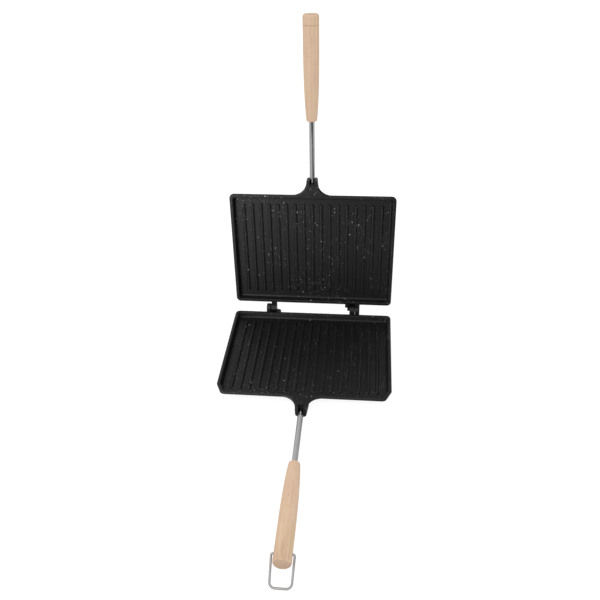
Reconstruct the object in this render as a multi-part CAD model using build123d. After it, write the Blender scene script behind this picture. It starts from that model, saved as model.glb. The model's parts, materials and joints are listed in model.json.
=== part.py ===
from build123d import *
from math import asin, atan, cos, degrees, hypot, radians, sin, tan
import os

# Hinged grill iron: two like cast plates on a two-knuckle hinge, a steel rod and a wooden grip
# on each, and a wire bail that locks the grips together. Millimetres, +Z up.
# Row frame: origin at the centre of the lower plate's base, handles towards -Y, hinge towards +Y.
# Each plate casting is drawn in the hinge frame: hinge axis along X through the origin, plate
# towards -Y, the parting plane of the two plates at z = 0 and the metal below it.

# --- plate casting ---
plate_width = 220.0
plate_length = 163.0
upper_front_radius = 6.5    # corners at the handle side
lower_front_radius = 6.0
lower_cut_across = 8.0      # its corners are cut off before they are rounded
lower_cut_along = 16.0
back_radius = 6.0           # corners at the hinge side
least_inner_radius = 2.8    # of the cavity's and tray's corners
rim_width = 4.5
rim_thickness = 3.2
rim_round = 1.9
rim_under_round = 0.6
rim_inner_round = 0.8
rim_gap = 0.2               # between the two rims when the iron is shut
cavity_depth = 7.5
cavity_draft = 14.0
cavity_foot_radius = 2.0
wall_thickness = 3.0        # under the rim
root_margin = 0.1           # from a root's end to the rim's inner round
base_thickness = 3.4
wall_draft = 24.0           # outer side of the tray
heel_height = 3.6           # bevel from the tray's side to its base
heel_draft = 46.0
base_edge_round = 1.2

# --- grill ribs ---
rib_pitch = 11.5
rib_width = 4.6
rib_height = 2.0
rib_flank_draft = 29.0
rib_top_round = 1.6
rib_end_clear = 10.5        # from the cavity's edge to the rib's end
rib_side_clear = 8.0        # least gap from the cavity's edge to the outer rib

# --- hinge ---
hinge_setback = 8.4         # from the rim's edge to the hinge axis
hinge_centre = 55.8         # from the middle of the plate to the middle of each knuckle
knuckle_radius = 6.0
knuckle_width = 7.4
knuckle_play = 0.3          # each side
ear_width = 6.4
ear_edge_round = 1.4
cheek_width = 6.2
cheek_reach = 5.2           # beyond the rim's edge
cheek_drop = 0.6            # below the parting plane
hinge_edge_round = 0.6
saddle_thickness = 3.4
saddle_reach = 5.6          # beyond the hinge axis
pin_diameter = 4.5
pin_clearance = 0.08        # radial, in the knuckle
pin_chamfer = 0.4
opening_angle = 98.0        # from shut to resting on the stop
stop_gap = 0.1
ear_rest_gap = 0.25         # from the low lug to the ear above it
ear_rest_height = 3.2

# --- neck and handle ---
handle_drop = 9.8           # handle axis below the parting plane
neck_end_width = 14.2
neck_root_width = 17.8      # where the neck meets the plate
neck_flare_radius = 18.5
neck_straight = 1.1
neck_under = 6.0            # metal below the handle axis
neck_under_round = 4.5
neck_ramp = 10.0            # length over which the neck's underside runs up into the plate
neck_slot_width = 6.4       # the neck's end is open on its inner side, and the rod shows there
neck_slot_length = 6.0
rod_diameter = 7.0
rod_clearance = 0.03        # radial, in the neck and in the grip
rod_chamfer = 0.6
rod_bare_length = 75.4      # between neck and grip
socket_depth = 14.0
set_screw_diameter = 4.0
set_screw_inset = 7.0       # from the neck's end
set_screw_key = 2.0
set_screw_key_depth = 1.5

# --- grip ---
grip_length = 123.6
grip_front_diameter = 13.4
grip_diameter = 19.4
grip_swell_length = 95.0
grip_front_round = 1.2
grip_end_round = 2.8
grip_bore_depth = 26.0
insert_diameter = 9.6
insert_length = 18.0
insert_inset = 0.5          # below the wood's front face
lock_groove_depth = 0.5

# --- locking bail ---
bail_wire = 2.4
bail_clearance = 0.1        # radial, in the grip's cross hole
bail_side_gap = 1.1         # between each arm and the grip
bail_pivot_inset = 12.0     # from the grip's end
bail_eye_radius = 2.0
bail_corner_radius = 5.6
bail_lean = 1.0             # each arm leans in by this much at the bar
bail_leg_depth = 5.0        # inside the grip
bail_lock_gap = 1.75        # from the other grip's top to the bar, which clears that grip's end
bail_droop = 21.0           # below the handle's line, where the bar touches the table

# --- worked out from the above ---
upper_front = (0.0, 0.0, upper_front_radius)
lower_front = (lower_cut_across, lower_cut_along, lower_front_radius)
rim_top = -rim_gap / 2
rim_under = rim_top - rim_thickness
floor_top = rim_top - cavity_depth
base_bottom = floor_top - base_thickness
plate_front = -hinge_setback - plate_length
plate_middle = -hinge_setback - plate_length / 2
cavity_width = plate_width - 2 * rim_width
cavity_length = plate_length - 2 * rim_width
body_inset = rim_width + rim_thickness * tan(radians(cavity_draft)) - wall_thickness
neck_length = neck_flare_radius + neck_straight
neck_end = plate_front - neck_length
neck_slope = (neck_root_width - neck_end_width) / 2 / neck_length
neck_bottom = -handle_drop - neck_under
grip_front = neck_end - rod_bare_length
grip_end = grip_front - grip_length
bail_pivot = grip_end + bail_pivot_inset
bail_half_span = grip_diameter / 2 + bail_side_gap + bail_wire / 2
bail_reach = 2 * handle_drop + grip_diameter / 2 + bail_lock_gap + bail_wire / 2
ear_centre = hinge_centre + knuckle_width / 2 + knuckle_play + ear_width / 2
cheek_centre = hinge_centre - knuckle_width / 2 - knuckle_play - cheek_width / 2
saddle_top = -knuckle_radius - stop_gap
saddle_bottom = saddle_top - saddle_thickness
into_plate = rim_width - rim_inner_round - root_margin     # reach of hinge and neck roots
hinge_root = -hinge_setback - into_plate
hinge_root_bend = (rim_under + floor_top) / 2
hinge_root_deep = hinge_root - into_plate        # under the cavity's floor


def plate_outline(front, inset=0.0, height=0.0):
    """Plan of the plate, set in by the given amount; front is its corners at the handle."""
    across, along, front_radius = front
    x = plate_width / 2 - inset
    y = plate_length / 2 - inset
    points = [(x, y), (-x, y), (-x, -y), (x, -y)]
    if across > 0:
        kept = 1 - inset * (across + along - hypot(across, along)) / (across * along)
        across, along = across * kept, along * kept
        points[2:] = [(-x, along - y), (across - x, -y), (x - across, -y), (x, along - y)]
    outline = make_face(Polyline(*points, close=True))
    for corners, radius in ((slice(-2), front_radius), (slice(-2, None), back_radius)):
        if inset > 0:
            radius = max(radius - inset, least_inner_radius)
        outline = fillet(outline.vertices().sort_by(Axis.Y)[corners], radius)
    return Pos(0, plate_middle, height) * outline


def cross_prism(points, width, centre):
    """Prism across the iron from a closed outline of (y, z) points, centred at x = centre."""
    outline = Plane.YZ * make_face(Polyline(*points, close=True))
    return Pos(centre, 0, 0) * extrude(outline, amount=width / 2, both=True)


def cross_cylinder(radius, width, centre):
    return Pos(centre, 0, 0) * Rot(Y=90) * Cylinder(radius, width)


def soften(solid, radius):
    """Round the edges at both cheeks of a prism that lies across the iron."""
    ends = solid.faces().filter_by(Axis.X)
    return fillet(ends.edges(), radius)


def neck_plan(back):
    """Plan of the tapered neck from its end to y = back."""
    half_end = neck_end_width / 2
    half_back = half_end + neck_slope * (back - neck_end)
    return make_face(Polyline((-half_end, neck_end), (half_end, neck_end), (half_back, back),
                              (-half_back, back), close=True))


def rim_plan(front):
    """Plan of the rim with the neck, whose slanted sides run on into arcs to the rim's front."""
    r = neck_flare_radius
    lean = atan(neck_slope)
    centre_y = plate_front - r
    centre_x = neck_end_width / 2 + neck_slope * (centre_y - neck_end) + r / cos(lean)
    meets_side = centre_y + r * sin(lean)
    flare = Pos(0, (plate_front + meets_side) / 2) * Rectangle(2 * centre_x, plate_front - meets_side)
    for side in (-1, 1):
        flare -= Pos(side * centre_x, centre_y) * Circle(r)
    return plate_outline(front) + flare + neck_plan(plate_front)


def flange(front):
    slab = Pos(0, 0, rim_under) * extrude(rim_plan(front), amount=rim_thickness)
    slab = fillet(slab.faces().sort_by(Axis.Z)[-1].edges(), rim_round)
    return fillet(slab.faces().sort_by(Axis.Z)[0].edges(), rim_under_round)


def pan_body(front):
    """The tray under the flange: a drafted wall, then a bevelled heel down to the flat base."""
    heel_top = base_bottom + heel_height
    wall_inset = body_inset + (rim_under - heel_top) * tan(radians(wall_draft))
    base_inset = wall_inset + heel_height * tan(radians(heel_draft))
    rim_line = plate_outline(front, body_inset, rim_under)
    heel_line = plate_outline(front, wall_inset, heel_top)
    base_line = plate_outline(front, base_inset, base_bottom)
    tray = loft([rim_line, heel_line], ruled=True) + loft([heel_line, base_line], ruled=True)
    return fillet(tray.faces().sort_by(Axis.Z)[0].edges(), base_edge_round)


def cavity(front):
    floor_inset = rim_width + cavity_depth * tan(radians(cavity_draft))
    hollow = loft([plate_outline(front, rim_width, rim_top),
                   plate_outline(front, floor_inset, floor_top)], ruled=True)
    return fillet(hollow.faces().sort_by(Axis.Z)[0].edges(), cavity_foot_radius)


def neck_barrel():
    """Boss round the rod's socket: a rounded bar whose underside runs up into the plate."""
    back = plate_front + into_plate
    bar = Pos(0, 0, neck_bottom) * extrude(neck_plan(back), amount=rim_top - rim_round - neck_bottom)
    sides = bar.faces().sort_by(Axis.Z)[0].edges().sort_by(SortBy.LENGTH)[-2:]
    bar = fillet(sides, neck_under_round)
    ramp_start = back - neck_ramp
    ramp = cross_prism([(ramp_start, neck_bottom), (back, rim_under), (back, neck_bottom)],
                       neck_root_width * 2, 0)
    return bar - ramp


def ribs():
    side_room = cavity_width / 2 - rib_side_clear - rib_width / 2
    per_side = int(side_room // rib_pitch)
    length = cavity_length - 2 * rib_end_clear
    bar = extrude(SlotOverall(length, rib_width), amount=rib_height, taper=rib_flank_draft)
    bar = fillet(bar.faces().sort_by(Axis.Z)[-1].edges(), rib_top_round)
    bar += Pos(0, 0, -base_thickness / 4) * extrude(SlotOverall(length, rib_width), amount=base_thickness / 4)
    bar = Rot(Z=90) * bar
    return [Pos(i * rib_pitch, plate_middle, floor_top) * bar for i in range(-per_side, per_side + 1)]


def knuckle(centre):
    """Hinge knuckle with its web and the square heel that rests on the other plate's saddle."""
    r = knuckle_radius
    outline = [(hinge_root, rim_top), (hinge_root, -r), (r, -r), (r, 0), (0, 0), (0, rim_top)]
    body = cross_prism(outline, knuckle_width, centre) + cross_cylinder(r, knuckle_width, centre)
    return soften(body, hinge_edge_round)


def foot_root():
    """Inner side of the hinge foot: down inside the tray's wall, then in under the cavity's floor."""
    return [(hinge_root, hinge_root_bend), (hinge_root_deep, saddle_bottom)]


def ear(centre):
    """Tall ear that holds the pin, on the same foot as the saddle."""
    r = knuckle_radius
    outline = [(hinge_root, rim_top), *foot_root(), (saddle_reach, saddle_bottom),
               (r, 0), (0, 0), (0, rim_top)]
    body = cross_prism(outline, ear_width, centre) + cross_cylinder(r, ear_width, centre)
    return soften(body, ear_edge_round)


def cheek(centre):
    """Low cheek on the knuckle's inner side, below the pin so that the pin can be driven out."""
    back = -hinge_setback + cheek_reach
    top = rim_top - cheek_drop
    outline = [(hinge_root, top), *foot_root(), (back, saddle_bottom), (back, top)]
    return soften(cross_prism(outline, cheek_width, centre), hinge_edge_round)


def ear_rest(centre):
    """Low lug on the rim that closes the gap in front of the other plate's ear."""
    front = -knuckle_radius - ear_rest_gap
    top = rim_top - cheek_drop
    under = top - ear_rest_height
    outline = [(hinge_root, top), (hinge_root, under), (front, under), (front, top)]
    return cross_prism(outline, ear_width, centre)


def saddle(inner, outer):
    """Foot between cheek and ear; its top is the stop, square to the heel at full opening."""
    slope = tan(radians(opening_angle - 90))
    rest_height = saddle_top / cos(radians(opening_angle - 90))
    front = (hinge_root, min(rest_height - slope * hinge_root, rim_under))
    back = (saddle_reach, rest_height - slope * saddle_reach)
    outline = [front, *foot_root(), (saddle_reach, saddle_bottom), back]
    return cross_prism(outline, abs(outer - inner), (inner + outer) / 2)


def casting(front):
    plate = flange(front) + pan_body(front) + neck_barrel()
    plate -= cavity(front)
    mouth = [e for e in plate.edges().group_by(Axis.Z)[-1]
             if abs(e.center().X) <= cavity_width / 2 + rim_inner_round
             and abs(e.center().Y - plate_middle) <= cavity_length / 2 + rim_inner_round]
    plate = fillet(mouth, rim_inner_round)
    plate += ribs()
    for part in (saddle(-cheek_centre, -ear_centre), ear(-ear_centre), cheek(-cheek_centre),
                 knuckle(hinge_centre)):
        plate += part
    pin_run = 2 * (ear_width + knuckle_width + cheek_width)
    plate -= cross_cylinder(pin_diameter / 2, ear_width * 2, -ear_centre)
    plate -= cross_cylinder(pin_diameter / 2 + pin_clearance, pin_run, hinge_centre)
    socket = Cylinder(rod_diameter / 2 + rod_clearance, socket_depth)
    plate -= Pos(0, neck_end + socket_depth / 2, -handle_drop) * Rot(X=90) * socket
    screw_hole = Cylinder(set_screw_diameter / 2, neck_under)
    plate -= Pos(0, neck_end + set_screw_inset, -handle_drop - neck_under / 2) * screw_hole
    slot = Box(neck_slot_width, 2 * neck_slot_length, handle_drop)
    return plate - Pos(0, neck_end, -handle_drop / 2) * slot


def hinge_pin():
    """Pin through the ear and the knuckle, flush with the ear's outer face."""
    length = ear_width + knuckle_play + knuckle_width
    pin = chamfer(Cylinder(pin_diameter / 2, length).edges(), pin_chamfer)
    outer_face = ear_centre + ear_width / 2
    return Pos(-(outer_face - length / 2), 0, 0) * Rot(Y=90) * pin


def handle_rod():
    front = neck_end + socket_depth
    back = grip_front - grip_bore_depth
    rod = chamfer(Cylinder(rod_diameter / 2, front - back).edges(), rod_chamfer)
    return Pos(0, (front + back) / 2, -handle_drop) * Rot(X=90) * rod


def set_screw():
    """Grub screw in the neck's underside, its point on the rod and its head flush."""
    length = neck_under - rod_diameter / 2
    screw = Cylinder(set_screw_diameter / 2, length)
    key_radius = set_screw_key / 2 / cos(radians(30))
    key = extrude(RegularPolygon(key_radius, 6), amount=set_screw_key_depth)
    screw -= Pos(0, 0, -length / 2) * key
    return Pos(0, neck_end + set_screw_inset, neck_bottom + length / 2) * screw


def grip_radius(along):
    """Radius of the turned grip at a distance from its front end: a quick swell, then straight."""
    rest = max(0.0, 1 - along / grip_swell_length)
    return grip_diameter / 2 - (grip_diameter - grip_front_diameter) / 2 * rest ** 3


def grip_blank():
    straight_end = grip_length - grip_end_round
    steps = [grip_front_round + (grip_swell_length - grip_front_round) * i / 5 for i in range(6)]
    swell = Spline(*[(grip_radius(s), s) for s in steps])
    front_edge = RadiusArc((grip_radius(grip_front_round) - grip_front_round, 0),
                           (grip_radius(grip_front_round), grip_front_round), -grip_front_round)
    side = Line((grip_diameter / 2, grip_swell_length), (grip_diameter / 2, straight_end))
    end_edge = RadiusArc((grip_diameter / 2, straight_end),
                         (grip_diameter / 2 - grip_end_round, grip_length), -grip_end_round)
    close = Polyline((grip_diameter / 2 - grip_end_round, grip_length), (0, grip_length), (0, 0),
                     (grip_radius(grip_front_round) - grip_front_round, 0))
    profile = make_face([front_edge, swell, side, end_edge, close])
    turned = revolve(Plane.XZ * profile, Axis.Z)
    bore = Cylinder(rod_diameter / 2 + rod_clearance, grip_bore_depth)
    turned -= Pos(0, 0, grip_bore_depth / 2) * bore
    seat_depth = insert_inset + insert_length
    turned -= Pos(0, 0, seat_depth / 2) * Cylinder(insert_diameter / 2, seat_depth)
    return Pos(0, grip_front, -handle_drop) * Rot(X=90) * turned


def grip_insert():
    """Threaded brass insert in the grip's front end; the rod's threaded end screws into it."""
    sleeve = chamfer(Cylinder(insert_diameter / 2, insert_length).edges(), rod_chamfer)
    sleeve -= Cylinder(rod_diameter / 2 + rod_clearance, insert_length)
    return Pos(0, grip_front - insert_inset - insert_length / 2, -handle_drop) * Rot(X=90) * sleeve


def lower_grip():
    cross_hole = cross_cylinder(bail_wire / 2 + bail_clearance, grip_diameter * 2, 0)
    return grip_blank() - Pos(0, bail_pivot, -handle_drop) * cross_hole


def upper_grip():
    """Like the lower grip, with a turned groove where the bail's bar settles."""
    groove = Torus(grip_diameter / 2 + bail_wire / 2 - lock_groove_depth, bail_wire / 2)
    return grip_blank() - Pos(0, bail_pivot, -handle_drop) * Rot(X=90) * groove


def locking_bail():
    """One wire: two short legs in the grip's cross hole, two arms and a bar."""
    leg_end = grip_diameter / 2 - bail_leg_depth
    h = bail_half_span
    bar = h - bail_lean
    corners = [(leg_end, 0), (h, 0), (bar, bail_reach), (-bar, bail_reach), (-h, 0), (-leg_end, 0)]
    radii = [bail_eye_radius, bail_corner_radius, bail_corner_radius, bail_eye_radius]
    path = FilletPolyline(*corners, radius=radii)
    section = Plane(origin=path @ 0, z_dir=path % 0) * Circle(bail_wire / 2)
    wire = sweep(section, path)
    wire = Rot(X=bail_droop) * Rot(Z=180) * wire
    return Pos(0, bail_pivot, -handle_drop) * wire


def in_lower(part):
    return Pos(0, -plate_middle, -base_bottom) * part


def in_upper(part):
    """Turn a lower piece half round the handle's direction to its shut place, then open it."""
    return Pos(0, -plate_middle, -base_bottom) * Rot(X=-opening_angle) * Rot(Y=180) * part


def main():
    os.makedirs("parts", exist_ok=True)
    pin = hinge_pin()
    rod = handle_rod()
    screw = set_screw()
    insert = grip_insert()
    nodes = {
        "lower_plate": in_lower(casting(lower_front) + ear_rest(ear_centre)),
        "upper_plate": in_upper(casting(upper_front)),
        "left_hinge_pin": in_lower(pin),
        "right_hinge_pin": in_upper(pin),
        "lower_handle_rod": in_lower(rod),
        "upper_handle_rod": in_upper(rod),
        "lower_set_screw": in_lower(screw),
        "upper_set_screw": in_upper(screw),
        "lower_grip_insert": in_lower(insert),
        "upper_grip_insert": in_upper(insert),
        "lower_grip": in_lower(lower_grip()),
        "upper_grip": in_upper(upper_grip()),
        "locking_bail": in_lower(locking_bail()),
    }
    for name, shape in nodes.items():
        export_step(shape, os.path.join("parts", name + ".step"))


main()
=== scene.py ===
import json
import math

import bmesh
import bpy
from mathutils import Matrix, Vector


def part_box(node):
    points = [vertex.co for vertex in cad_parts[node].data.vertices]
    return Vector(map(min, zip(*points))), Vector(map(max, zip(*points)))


# Hinged grill iron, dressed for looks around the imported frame. Metres, +Z up.
# Sizes in a pattern are given as cells or waves to the metre.

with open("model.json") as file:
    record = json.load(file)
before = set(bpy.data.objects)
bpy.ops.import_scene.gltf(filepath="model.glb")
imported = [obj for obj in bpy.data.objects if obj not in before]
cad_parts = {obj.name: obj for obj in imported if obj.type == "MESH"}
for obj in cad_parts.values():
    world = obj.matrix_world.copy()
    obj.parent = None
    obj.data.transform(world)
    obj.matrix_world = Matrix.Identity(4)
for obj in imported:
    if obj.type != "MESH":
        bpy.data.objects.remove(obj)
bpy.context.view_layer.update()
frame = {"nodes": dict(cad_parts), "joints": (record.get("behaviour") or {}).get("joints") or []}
nodes = frame["nodes"]
joints = {joint["name"]: joint for joint in frame["joints"]}
hinge = Vector(joints["plate_hinge"]["pos_m"])
opening = math.radians(joints["plate_hinge"]["range_deg"][1])

# ---------------------------------------------------------------- coating on the castings
coating_black, coating_grey = (0.0034, 0.0034, 0.0036), (0.0056, 0.0056, 0.0059)
coating_roughness = (0.36, 0.50)
cloud_size, gloss_size, peel_size, wave_size = 60.0, 420.0, 1100.0, 170.0
peel_depth, wave_depth = (0.00006, 0.55), (0.00025, 0.35)
cluster_size, cluster_edge = 30.0, (0.42, 0.62)
# Sizes of fleck: cells to the metre, radius in cells, share of a cluster's cells that stay bare,
# and how strong the faintest ones are.
fleck_sizes = ((340.0, 0.30, 0.95, 0.40), (560.0, 0.26, 0.92, 0.15), (1000.0, 0.26, 0.84, 0.10))
# Each plate's flecks: where in the pattern their clusters lie, and their colour. The coating is
# the same on both plates; the lower plate's flecks are painted darker than the upper's, as painted
# shade for how light falls on each.
plate_flecks_and_painted_shade = {"lower": ((1.37, 0.51, 0.83), (0.42, 0.415, 0.40)),
                "upper": ((0.37, 0.11, 0.23), (0.80, 0.79, 0.76))}

# ---------------------------------------------------------------- wood of the grips
beech_pale, beech_dark = (0.795, 0.582, 0.420), (0.655, 0.438, 0.290)
beech_golden, beech_rosy = (0.735, 0.545, 0.345), (0.735, 0.495, 0.375)
pore_brown, freckle_brown = (0.50, 0.295, 0.170), (0.40, 0.205, 0.105)
flame_brown, end_grain_brown = (0.56, 0.335, 0.205), (0.51, 0.360, 0.260)
# Painted shade: the dark colour painted along the upper grip's groove.
painted_groove_shade = (0.34, 0.19, 0.105)
wood_roughness, wood_depth = (0.50, 0.64), (0.00008, 0.6)
heart_offset = 0.041         # from the grip's middle to the heart of the tree
grain_stretch, blot_stretch, short_stretch = 0.075, 0.35, 0.22     # along the grip
ring_size, streak_size, fibre_size = 62.0, 330.0, 1500.0
mottle_size, hue_size, patch_size, flame_size = 95.0, 60.0, 70.0, 300.0
pore_size, freckle_size, painted_groove_shade_break_size = 1050.0, 520.0, 220.0
# How far each layer goes from pale towards dark; the groove's share is painted shade.
ring_tone, streak_tone, fibre_tone, mottle_tone = 0.24, 0.44, 0.22, (-0.16, 0.20)
golden_share, rosy_share, pore_share, freckle_share = 0.85, 0.75, 0.36, 0.75
flame_share, end_grain_share, painted_groove_shade_share = 0.75, 0.50, (0.10, 0.45)
# Along the grip, as shares of its length from its front end.
freckles_middle, freckles_near, freckles_far = 0.46, 0.10, 0.30
flames_from, flames_to = 0.55, 0.92
end_grain_from, end_grain_to = 0.0012, 0.0005         # metres before the butt
# Painted shade along the groove: full this far from its middle, gone at the second distance.
painted_groove_shade_full, painted_groove_shade_edge = 0.0003, 0.0009             # metres from the middle of the groove
# Each grip's own cut from the log, and how freckled it is.
grip_woods = {"lower": (1.0, 0.8), "upper": (2.0, 0.35)}

# ---------------------------------------------------------------- metals
rod_grey, wire_grey, pin_grey = (0.44, 0.44, 0.44), (0.40, 0.40, 0.40), (0.36, 0.36, 0.37)
rod_roughness, wire_roughness, pin_roughness = 0.08, 0.22, 0.34
smudge_size, smudge_share, smudge_grey, smudge_roughness = 90.0, 0.7, 0.86, 1.5
drawn_size, drawn_stretch, drawn_depth, rod_drawn = 2600.0, 0.02, 0.00001, 0.5
screw_black, screw_grey, screw_roughness = (0.07, 0.07, 0.075), (0.14, 0.14, 0.14), (0.35, 0.55)
brass_bright, brass_dull, brass_roughness = (0.78, 0.60, 0.30), (0.62, 0.45, 0.20), (0.22, 0.36)

# ---------------------------------------------------------------- table and light
table_white, table_size = (0.86, 0.86, 0.86), (4.0, 4.0)
table_gap = -0.0001          # the table lies this far below what stands on it
table_glow, glow_strength = 0.72, 1.25                # what the camera sees as plain white
card_black, card_gap = (0.004, 0.004, 0.004), 0.002
card_middle, card_size, card_turn = (0.86, -1.24), (0.80, 2.10), 32.0
room_light = 0.84            # on what isn't shiny
# What shiny pieces mirror: a direction across or upward, and the room's level there.
room_left, room_right = (-0.3, 1.0), (0.75, 0.75)
room_under, room_over = (-0.06, 0.05), (0.06, 1.0)
sun_from, sun_energy, sun_spread = (-0.35, -0.50, 1.0), 0.55, 50.0
side_from, side_toward = (-0.62, -0.30, 0.40), (0.0, 0.03, 0.06)
side_size, side_energy = (0.5, 0.5), 4.5
front_from, front_toward = (-0.45, -0.75, 0.12), (0.0, 0.10, 0.10)
front_size, front_energy = (0.35, 0.2), 3.0

# ---------------------------------------------------------------- camera, from the hinge
eye_offset = (0.070985, -0.740757, 0.599115)
eye_right = (0.99499381, 0.09472174, -0.03186069)
eye_down = (0.03346707, -0.61622072, -0.78686211)
eye_forward = (-0.09416616, 0.78185665, -0.61630586)
sensor_width, lens = 36.0, 40.04


# ---------------------------------------------------------------- where the two handles run
def swung_up(point):
    """A point of the lower half, carried round the hinge to the upper half's place at rest."""
    away = point - hinge
    return hinge + Matrix.Rotation(-opening, 3, "X") @ Vector((-away.x, away.y, -away.z))


def handle_frames():
    """For each half, a matrix whose +Z runs along the grip from its front end to its butt."""
    low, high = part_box("lower_grip")
    middle = (low + high) / 2
    front = Vector((middle.x, high.y, middle.z))
    butt = Vector((middle.x, low.y, middle.z))
    frames = {}
    for half, place in (("lower", lambda point: point), ("upper", swung_up)):
        start, end = place(front), place(butt)
        along = (end - start).normalized()
        side = Vector((1, 0, 0))
        frames[half] = Matrix((side, along.cross(side), along)).transposed().to_4x4()
        frames[half].translation = start
    return frames


grip_frame = handle_frames()
grip_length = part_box("lower_grip")[1].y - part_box("lower_grip")[0].y
groove_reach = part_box("lower_grip")[1].y - joints["bail_swing"]["pos_m"][1]


# ---------------------------------------------------------------- node trees
class Graph:
    """A short way to write a node tree. What a socket gets is a number, a colour or an output."""

    def __init__(self, owner):
        owner.use_nodes = True
        self.tree = owner.node_tree
        self.tree.nodes.clear()

    def add(self, kind, **settings):
        node = self.tree.nodes.new(kind)
        for key, value in settings.items():
            if key in node.inputs.keys():
                node.inputs[key].default_value = value
            else:
                setattr(node, key, value)
        return node

    def link(self, source, target):
        self.tree.links.new(source, target)

    def feed(self, sockets, values):
        for socket, value in zip(sockets, values):
            if isinstance(value, (int, float)):
                socket.default_value = value
            elif isinstance(value, tuple):
                socket.default_value = (*value, 1.0)
            else:
                self.link(value, socket)

    def mapped(self, vector, scale=(1.0, 1.0, 1.0), location=(0.0, 0.0, 0.0),
               rotation=(0.0, 0.0, 0.0)):
        node = self.add("ShaderNodeMapping", vector_type="POINT", Location=location,
                        Rotation=rotation, Scale=scale)
        self.link(vector, node.inputs["Vector"])
        return node.outputs["Vector"]

    def place(self, matrix=None, stretch=(1.0, 1.0, 1.0)):
        """Object coordinates, turned into the given frame and stretched."""
        vector = self.add("ShaderNodeTexCoord").outputs["Object"]
        if matrix is not None:
            inverse = matrix.inverted()
            vector = self.mapped(vector, location=inverse.to_translation(),
                                 rotation=inverse.to_euler())
        return self.mapped(vector, stretch)

    def noise(self, vector, scale, detail=2.0, roughness=0.5):
        node = self.add("ShaderNodeTexNoise", Scale=scale, Detail=detail, Roughness=roughness)
        self.link(vector, node.inputs["Vector"])
        return node.outputs["Fac"]

    def rings(self, vector, scale, distortion, detail, detail_scale):
        """Growth rings round the Z axis."""
        node = self.add("ShaderNodeTexWave", wave_type="RINGS", rings_direction="Z", Scale=scale,
                        Distortion=distortion, Detail=detail)
        node.inputs["Detail Scale"].default_value = detail_scale
        self.link(vector, node.inputs["Vector"])
        return node.outputs["Fac"]

    def spots(self, vector, scale):
        """Cells: the distance to the nearest one's point, and two chance numbers of its own."""
        node = self.add("ShaderNodeTexVoronoi", feature="F1", Scale=scale)
        self.link(vector, node.inputs["Vector"])
        own = self.add("ShaderNodeSeparateColor")
        self.link(node.outputs["Color"], own.inputs["Color"])
        return node.outputs["Distance"], own.outputs["Red"], own.outputs["Green"]

    def remap(self, value, low, high, to_low=0.0, to_high=1.0, smooth=False):
        node = self.add("ShaderNodeMapRange", clamp=True)
        if smooth:
            node.interpolation_type = "SMOOTHSTEP"
        for name, number in (("From Min", low), ("From Max", high), ("To Min", to_low),
                             ("To Max", to_high)):
            node.inputs[name].default_value = number
        self.link(value, node.inputs["Value"])
        return node.outputs["Result"]

    def maths(self, operation, first, second):
        node = self.add("ShaderNodeMath", operation=operation)
        self.feed(node.inputs, (first, second))
        return node.outputs["Value"]

    def times(self, first, second):
        return self.maths("MULTIPLY", first, second)

    def apart(self, value, middle):
        """How far a number is from a middle one, either way."""
        return self.maths("ABSOLUTE", self.maths("SUBTRACT", value, middle), 0.0)

    def part_of(self, vector, which):
        node = self.add("ShaderNodeSeparateXYZ")
        self.link(vector, node.inputs["Vector"])
        return node.outputs[which]

    def mix(self, factor, first, second):
        """A mix of two colours, whose sockets are the node's sixth and seventh."""
        node = self.add("ShaderNodeMix", data_type="RGBA")
        self.feed((node.inputs["Factor"], node.inputs[6], node.inputs[7]), (factor, first, second))
        return node.outputs[2]

    def mix_shaders(self, factor, first, second):
        node = self.add("ShaderNodeMixShader")
        self.feed(node.inputs, (factor, first, second))
        return node.outputs[0]

    def bump(self, height, depth, below=None):
        distance, strength = depth
        node = self.add("ShaderNodeBump", Strength=strength, Distance=distance)
        self.link(height, node.inputs["Height"])
        if below is not None:
            self.link(below, node.inputs["Normal"])
        return node.outputs["Normal"]


class Finish(Graph):
    """A material for a piece of the iron."""

    def __init__(self, name, **settings):
        self.material = bpy.data.materials.new(name)
        super().__init__(self.material)
        self.shader = self.add("ShaderNodeBsdfPrincipled", **settings)
        output = self.add("ShaderNodeOutputMaterial")
        self.link(self.shader.outputs["BSDF"], output.inputs["Surface"])

    def set(self, socket, source):
        self.link(source, self.shader.inputs[socket])


class Matt(Graph):
    """A matt material for what lies round the iron."""

    def __init__(self, name, colour):
        self.material = bpy.data.materials.new(name)
        super().__init__(self.material)
        self.plain = self.add("ShaderNodeBsdfDiffuse", Color=(*colour, 1.0)).outputs[0]
        self.surface = self.add("ShaderNodeOutputMaterial").inputs["Surface"]
        self.link(self.plain, self.surface)


# ---------------------------------------------------------------- finishes
def coated_casting(name, clusters, fleck_colour_and_painted_shade):
    """Cast aluminium under a black non-stick coating with sparse pale flecks in clusters; the
    fleck colour, given per plate, carries painted shade.
    """
    m = Finish(name, IOR=1.34)
    at = m.place()
    drift = m.noise(m.place(Matrix.Translation(clusters)), cluster_size, 3.0, 0.6)
    flecks = None
    for size, radius, bare, faintest in fleck_sizes:
        distance, chance, strength = m.spots(at, size)
        inside = m.remap(distance, radius, radius * 0.6)
        shown = m.maths("GREATER_THAN", chance, m.remap(drift, *cluster_edge, 1.0, bare))
        spot = m.times(m.times(inside, shown), m.remap(strength, 0.0, 1.0, faintest, 1.0))
        flecks = spot if flecks is None else m.maths("MAXIMUM", flecks, spot)
    black = m.mix(m.noise(at, cloud_size, 4.0, 0.6), coating_black, coating_grey)
    # Painted shade: the flecks' colour is darker on the lower plate than on the upper one.
    m.set("Base Color", m.mix(flecks, black, fleck_colour_and_painted_shade))
    m.set("Roughness", m.remap(m.noise(at, gloss_size, 3.0), 0.25, 0.75, *coating_roughness))
    peel = m.bump(m.noise(at, peel_size), peel_depth)
    m.set("Normal", m.bump(m.noise(at, wave_size), wave_depth, peel))
    return m.material


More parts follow.
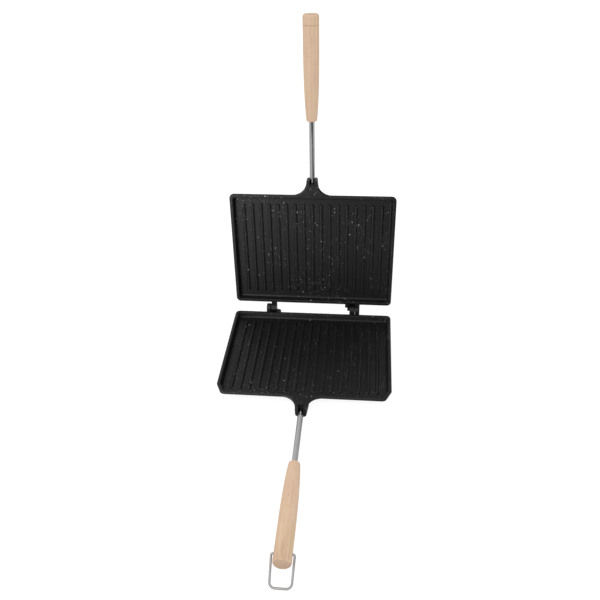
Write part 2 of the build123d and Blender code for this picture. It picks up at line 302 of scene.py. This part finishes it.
def turned_wood(name, matrix, cut, freckled, groove=None):
    """Oiled beech turned along its grain: soft growth bands, mottle, pores and ray flecks, and,
    when a groove is given, painted shade along it.
    """
    m = Finish(name, IOR=1.45)
    at = m.place(matrix)
    reach = m.part_of(at, "Z")
    grain = m.mapped(at, (1.0, 1.0, grain_stretch), (heart_offset + 0.01 * cut, 0.013 * cut, cut))
    blots = m.mapped(at, (1.0, 1.0, blot_stretch), (0.3 * cut, 0.1, 0.7 * cut))
    short = m.mapped(at, (1.0, 1.0, short_stretch), (cut, 0.0, 0.0))

    bands = m.remap(m.rings(grain, ring_size, 5.0, 3.0, 0.9), 0.0, 1.0, 0.0, ring_tone)
    streaks = m.remap(m.noise(grain, streak_size, 4.0, 0.6), 0.3, 0.7, 0.0, streak_tone)
    fibres = m.noise(grain, fibre_size, 3.0, 0.6)
    fine = m.remap(fibres, 0.3, 0.7, 0.0, fibre_tone)
    mottle = m.remap(m.noise(blots, mottle_size, 3.0, 0.55), 0.3, 0.7, *mottle_tone)
    tone = m.maths("ADD", m.maths("ADD", m.maths("ADD", bands, streaks), fine), mottle)
    wood = m.mix(tone, beech_pale, beech_dark)
    hue = m.noise(blots, hue_size, 3.0)
    wood = m.mix(m.remap(hue, 0.50, 0.66, 0.0, golden_share), wood, beech_golden)
    wood = m.mix(m.remap(hue, 0.48, 0.32, 0.0, rosy_share), wood, beech_rosy)

    near, chance, _ = m.spots(short, pore_size)
    pores = m.times(m.remap(near, 0.34, 0.12), m.maths("GREATER_THAN", chance, 0.62))
    wood = m.mix(m.times(pores, pore_share), wood, pore_brown)

    near, chance, _ = m.spots(short, freckle_size)
    from_middle = m.apart(reach, freckles_middle * grip_length)
    about_middle = m.remap(from_middle, freckles_near * grip_length, freckles_far * grip_length,
                           1.0, 0.15)
    patch = m.times(m.remap(m.noise(at, patch_size), 0.42, 0.62), about_middle)
    shown = m.maths("GREATER_THAN", chance, m.remap(patch, 0.0, 1.0, 1.0, 0.40))
    freckles = m.times(m.remap(near, 0.30, 0.10), shown)
    wood = m.mix(m.times(freckles, freckle_share * freckled), wood, freckle_brown)

    flame = m.remap(m.noise(grain, flame_size, 4.0, 0.65), 0.47, 0.58, 0.0, freckled)
    near_butt = m.remap(reach, flames_from * grip_length, flames_to * grip_length,
                        0.0, flame_share)
    wood = m.mix(m.times(flame, near_butt), wood, flame_brown)
    end_grain = m.remap(reach, grip_length - end_grain_from, grip_length - end_grain_to,
                        0.0, end_grain_share, smooth=True)
    wood = m.mix(end_grain, wood, end_grain_brown)
    # Painted shade: a broken dark line painted along the upper grip's groove, where the groove's
    # shade falls.
    if groove:
        broken_groove_shade = m.remap(m.noise(at, painted_groove_shade_break_size), 0.35, 0.6, *painted_groove_shade_share)
        line = m.remap(m.apart(reach, groove), painted_groove_shade_full, painted_groove_shade_edge, 1.0, 0.0, smooth=True)
        wood = m.mix(m.times(line, broken_groove_shade), wood, painted_groove_shade)
    m.set("Base Color", wood)
    m.set("Roughness", m.remap(fibres, 0.2, 0.8, *wood_roughness))
    m.set("Normal", m.bump(m.maths("SUBTRACT", fibres, m.times(pores, 0.5)), wood_depth))
    return m.material


def bright_steel(name, colour, roughness, matrix=None, drawn=0.0):
    """Bright steel, smudged in places, with faint drawing lines along it."""
    m = Finish(name, Metallic=1.0)
    smudge = m.noise(m.place(), smudge_size, 3.0)
    smudged = tuple(smudge_grey * c for c in colour)
    m.set("Base Color", m.mix(m.times(smudge, smudge_share), colour, smudged))
    m.set("Roughness", m.remap(smudge, 0.3, 0.7, roughness, roughness * smudge_roughness))
    lines = m.noise(m.place(matrix, (1.0, 1.0, drawn_stretch)), drawn_size)
    m.set("Normal", m.bump(lines, (drawn_depth, drawn)))
    return m.material


def blackened_screw():
    m = Finish("blackened_screw_steel", Metallic=1.0, IOR=1.5)
    at = m.place()
    m.set("Base Color", m.mix(m.noise(at, 900.0, 3.0), screw_black, screw_grey))
    m.set("Roughness", m.remap(m.noise(at, 600.0, 3.0), 0.3, 0.7, *screw_roughness))
    return m.material


def turned_brass(name, matrix):
    """Brass with the lathe's fine rings round it."""
    m = Finish(name, Metallic=1.0)
    at = m.place(matrix, (0.02, 0.02, 1.0))
    m.set("Base Color", m.mix(m.noise(at, 3000.0), brass_bright, brass_dull))
    m.set("Roughness", m.remap(m.noise(at, 2000.0), 0.3, 0.7, *brass_roughness))
    return m.material


def give(node, material):
    mesh = nodes[node].data
    mesh.materials.clear()
    mesh.materials.append(material)


def finish_iron():
    pin_steel = bright_steel("pin_steel", pin_grey, pin_roughness)
    screw_steel = blackened_screw()
    for half, matrix in grip_frame.items():
        groove = groove_reach if half == "upper" else None
        # The two plates get copies of one coating whose fleck colours differ as painted shade.
        give(half + "_plate", coated_casting(half + "_speckled_coating", *plate_flecks_and_painted_shade[half]))
        give(half + "_grip", turned_wood(half + "_beech", matrix, *grip_woods[half], groove))
        give(half + "_handle_rod", bright_steel(half + "_rod_steel", rod_grey, rod_roughness,
                                                matrix, rod_drawn))
        give(half + "_set_screw", screw_steel)
        give(half + "_grip_insert", turned_brass(half + "_insert_brass", matrix))
    give("left_hinge_pin", pin_steel)
    give("right_hinge_pin", pin_steel)
    give("locking_bail", bright_steel("bail_wire_steel", wire_grey, wire_roughness))


# ---------------------------------------------------------------- table and card
def resting_line():
    """Where the table lies under the casting: a point that touches it, and its slope along Y."""
    points = [(v.co.y, v.co.z) for v in nodes["lower_plate"].data.vertices]
    back = max(point for point in points if point[1] < 0.0001)
    slope = max((back[1] - z) / (back[0] - y) for y, z in points if y < back[0] - 0.05)
    return Vector((0.0, back[0], back[1])), slope


def flat_sheet(name, middle, size, turn, height, material):
    """A sheet turned so many degrees, that lies along the table so many metres above it."""
    touch, slope = resting_line()
    form = bmesh.new()
    bmesh.ops.create_grid(form, x_segments=1, y_segments=1, size=0.5)
    bmesh.ops.scale(form, verts=form.verts, vec=(*size, 1.0))
    bmesh.ops.rotate(form, verts=form.verts, matrix=Matrix.Rotation(math.radians(turn), 3, "Z"))
    bmesh.ops.translate(form, verts=form.verts, vec=(*middle, 0.0))
    for v in form.verts:
        v.co.z = touch.z + (v.co.y - touch.y) * slope + height
    mesh = bpy.data.meshes.new(name)
    form.to_mesh(mesh)
    form.free()
    mesh.materials.append(material)
    sheet = bpy.data.objects.new(name, mesh)
    bpy.context.scene.collection.objects.link(sheet)
    return sheet


def table():
    """White table under the iron, white to the camera but for the iron's own soft shadow."""
    m = Matt("white_table", table_white)
    white = m.add("ShaderNodeEmission", Strength=glow_strength).outputs[0]
    seen = m.times(m.add("ShaderNodeLightPath").outputs["Is Camera Ray"], table_glow)
    m.link(m.mix_shaders(seen, m.plain, white), m.surface)
    flat_sheet("table", (0.0, 0.0), table_size, 0.0, table_gap, m.material)


def black_card():
    """Dark card on the right, seen only as a reflection, which draws a dark line down a rod."""
    material = Matt("black_card", card_black).material
    card = flat_sheet("black_card", card_middle, card_size, card_turn, card_gap, material)
    card.visible_camera = False
    card.visible_diffuse = False
    card.visible_shadow = False


# ---------------------------------------------------------------- light and camera
def studio():
    """White to the camera, even for what it lights; what shines in it is brighter on the left."""
    world = bpy.data.worlds.new("studio")
    bpy.context.scene.world = world
    g = Graph(world)
    way = g.add("ShaderNodeTexCoord").outputs["Generated"]
    across = g.remap(g.part_of(way, "X"), room_left[0], room_right[0], room_left[1],
                     room_right[1], smooth=True)
    upward = g.remap(g.part_of(way, "Z"), room_under[0], room_over[0], room_under[1],
                     room_over[1])
    even, shine, white = (g.add("ShaderNodeBackground", Color=(1, 1, 1, 1), Strength=strength)
                          for strength in (room_light, 1.0, 1.0))
    g.link(g.times(across, upward), shine.inputs["Strength"])
    path = g.add("ShaderNodeLightPath").outputs
    lit = g.mix_shaders(path["Is Glossy Ray"], even.outputs[0], shine.outputs[0])
    direct = g.maths("MAXIMUM", path["Is Camera Ray"], path["Is Transmission Ray"])
    output = g.add("ShaderNodeOutputWorld")
    g.link(g.mix_shaders(direct, lit, white.outputs[0]), output.inputs["Surface"])


def lamp(name, kind, place, toward, energy):
    data = bpy.data.lights.new(name, kind)
    data.energy = energy
    source = bpy.data.objects.new(name, data)
    source.rotation_mode = "QUATERNION"
    source.location = place
    source.rotation_quaternion = (Vector(toward) - Vector(place)).to_track_quat("-Z", "Y")
    bpy.context.scene.collection.objects.link(source)
    return source


def softbox(name, castings, place, toward, size, energy):
    """A lamp that shows only as a sheen on the coated castings and isn't seen itself."""
    box = lamp(name, "AREA", place, toward, energy)
    box.data.shape = "RECTANGLE"
    box.data.size, box.data.size_y = size
    box.visible_camera = False
    box.visible_diffuse = False
    box.light_linking.receiver_collection = castings


def lamps():
    sky = lamp("overhead_light", "SUN", sun_from, (0, 0, 0), sun_energy)
    sky.data.angle = math.radians(sun_spread)
    castings = bpy.data.collections.new("coated_castings")
    for name in ("lower_plate", "upper_plate"):
        castings.objects.link(nodes[name])
    softbox("side_softbox", castings, side_from, side_toward, side_size, side_energy)
    softbox("front_softbox", castings, front_from, front_toward, front_size, front_energy)


def camera():
    data = bpy.data.cameras.new("camera")
    data.sensor_width = sensor_width
    data.lens = lens
    eye = bpy.data.objects.new("camera", data)
    right, down, forward = Vector(eye_right), Vector(eye_down), Vector(eye_forward)
    turn = Matrix((right, -down, -forward)).transposed().to_4x4()
    turn.translation = hinge + Vector(eye_offset)
    eye.matrix_world = turn
    bpy.context.scene.collection.objects.link(eye)
    bpy.context.scene.camera = eye


finish_iron()
table()
black_card()
studio()
lamps()
camera()
bpy.context.scene.view_settings.view_transform = "Standard"
